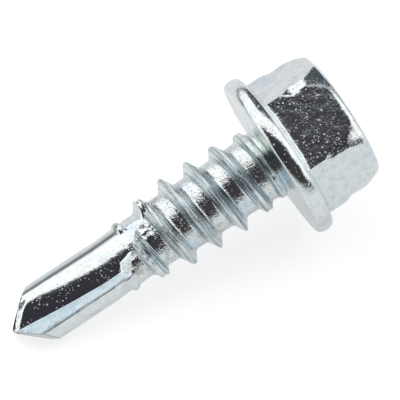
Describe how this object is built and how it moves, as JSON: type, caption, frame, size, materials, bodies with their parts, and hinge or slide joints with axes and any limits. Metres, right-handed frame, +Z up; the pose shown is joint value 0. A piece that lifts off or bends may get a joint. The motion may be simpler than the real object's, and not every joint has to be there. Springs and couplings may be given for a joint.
{
  "type": "self drilling screw",
  "caption": "Self drilling screw with a hexagon washer head, a coarse tapping thread and a fluted drill point, lying at rest.",
  "frame": {"origin": "on the ground, under the middle of the screw's bounding box", "axes": "+Z up, +X along the lying screw from its point towards its head, +Y across it"},
  "size_m": [0.0236, 0.0106, 0.0103],
  "materials": {
    "zinc_plated_steel": "bright zinc plating on steel, clear blue passivation, lightly marked"
  },
  "bodies": {
    "root": {"screw": "zinc_plated_steel"}
  },
  "joints": []
}
